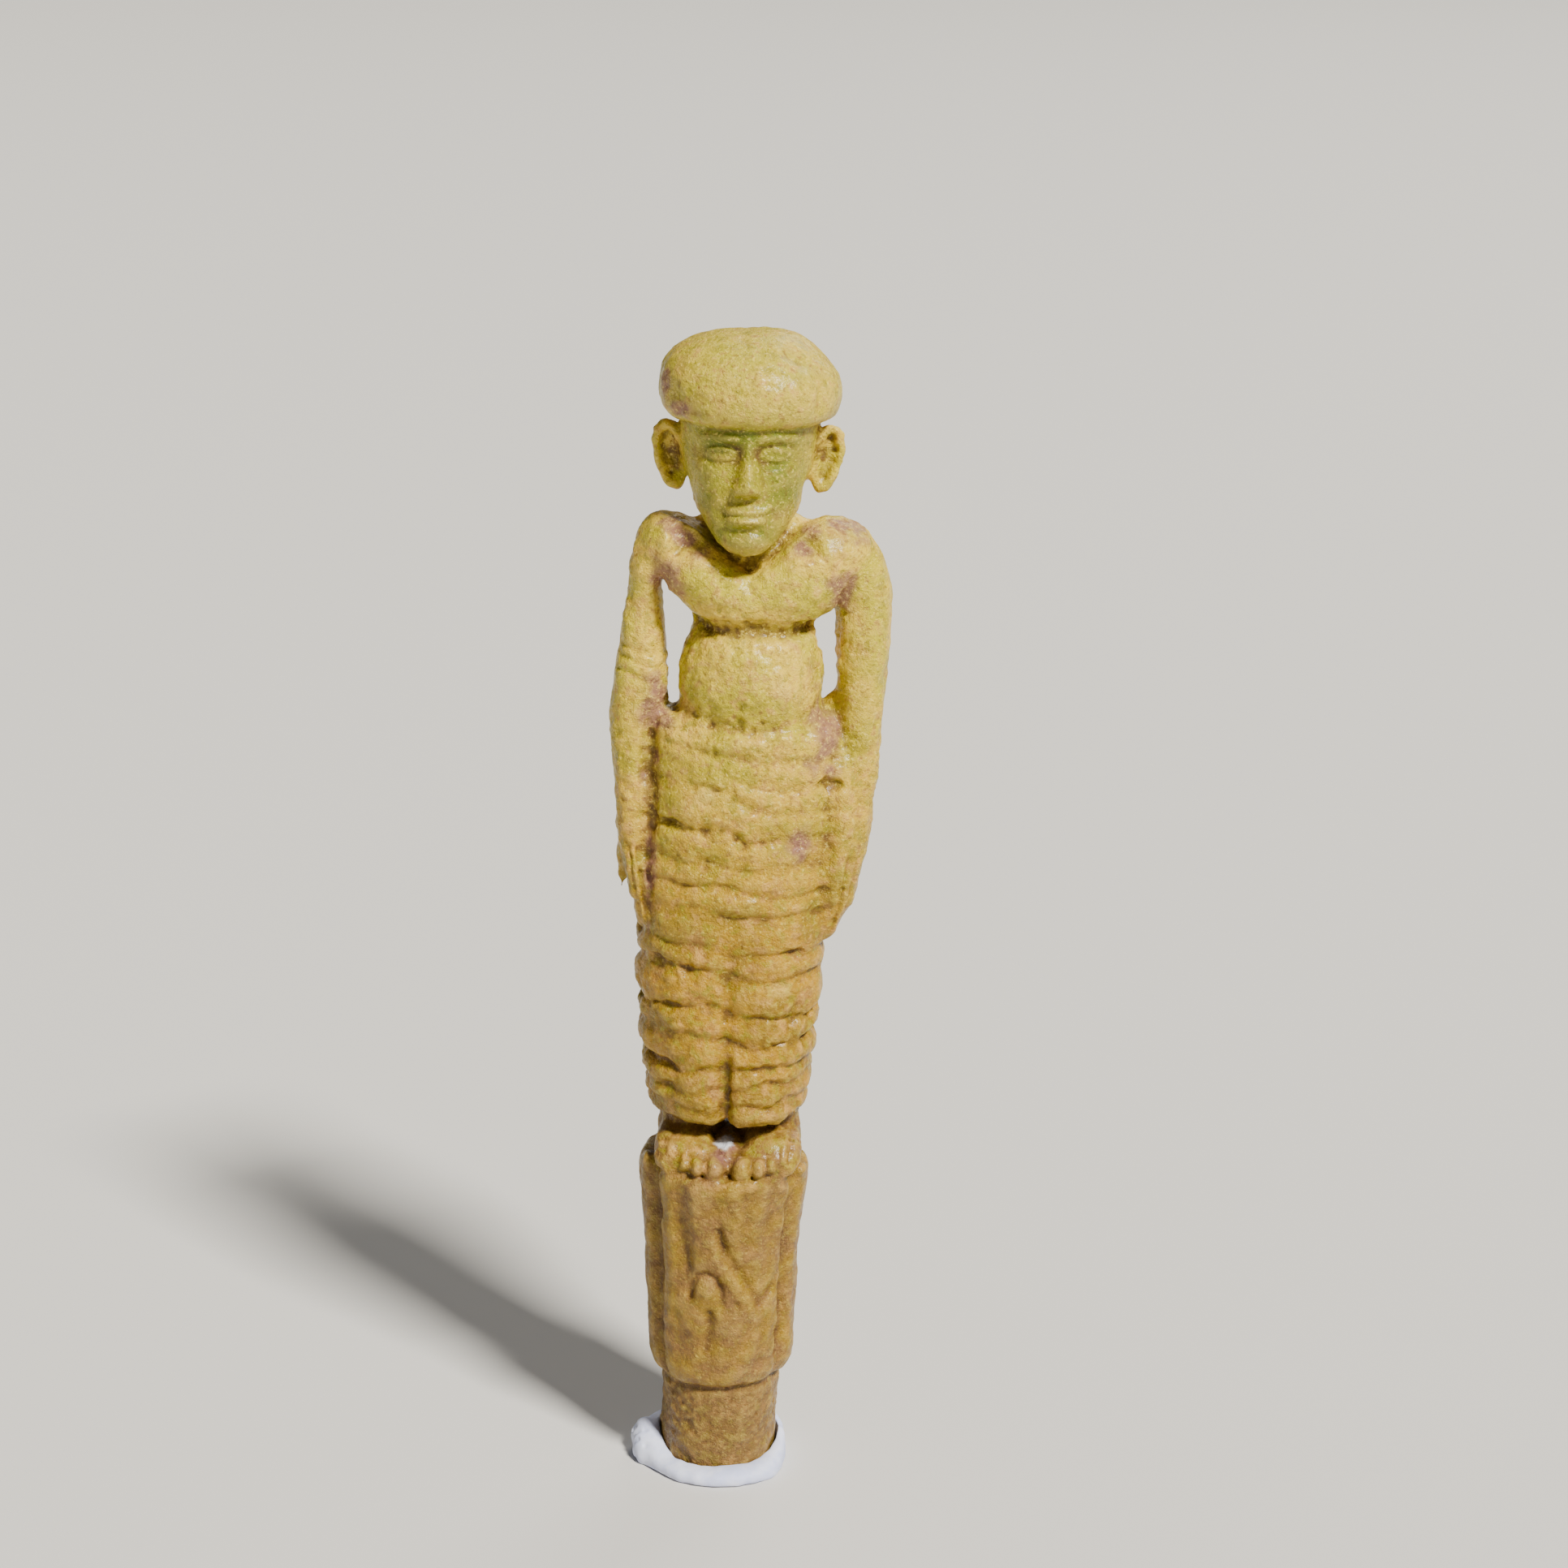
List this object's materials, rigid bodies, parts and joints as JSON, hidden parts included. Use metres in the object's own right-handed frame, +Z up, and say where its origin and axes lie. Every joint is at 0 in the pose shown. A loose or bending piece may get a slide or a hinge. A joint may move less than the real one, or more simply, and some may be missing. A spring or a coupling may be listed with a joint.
{
  "type": "faience amulet figure",
  "caption": "Moulded faience man in a long folded skirt, standing on a leaf capital with a round tang held upright in a ring of mounting putty.",
  "frame": {"origin": "middle of the tang's flat underside", "axes": "+Z up along the standing figure, -Y the side the figure faces, +X to the right as the picture shows it"},
  "size_m": [0.0255, 0.0168, 0.11],
  "materials": {
    "faience": "worn ochre-yellow glaze over grainy faience, green-tinged on the head, dull mauve where bare",
    "putty": "soft matt bluish-white putty"
  },
  "bodies": {
    "root": {"figure": "faience", "mounting_putty": "putty"}
  },
  "joints": []
}
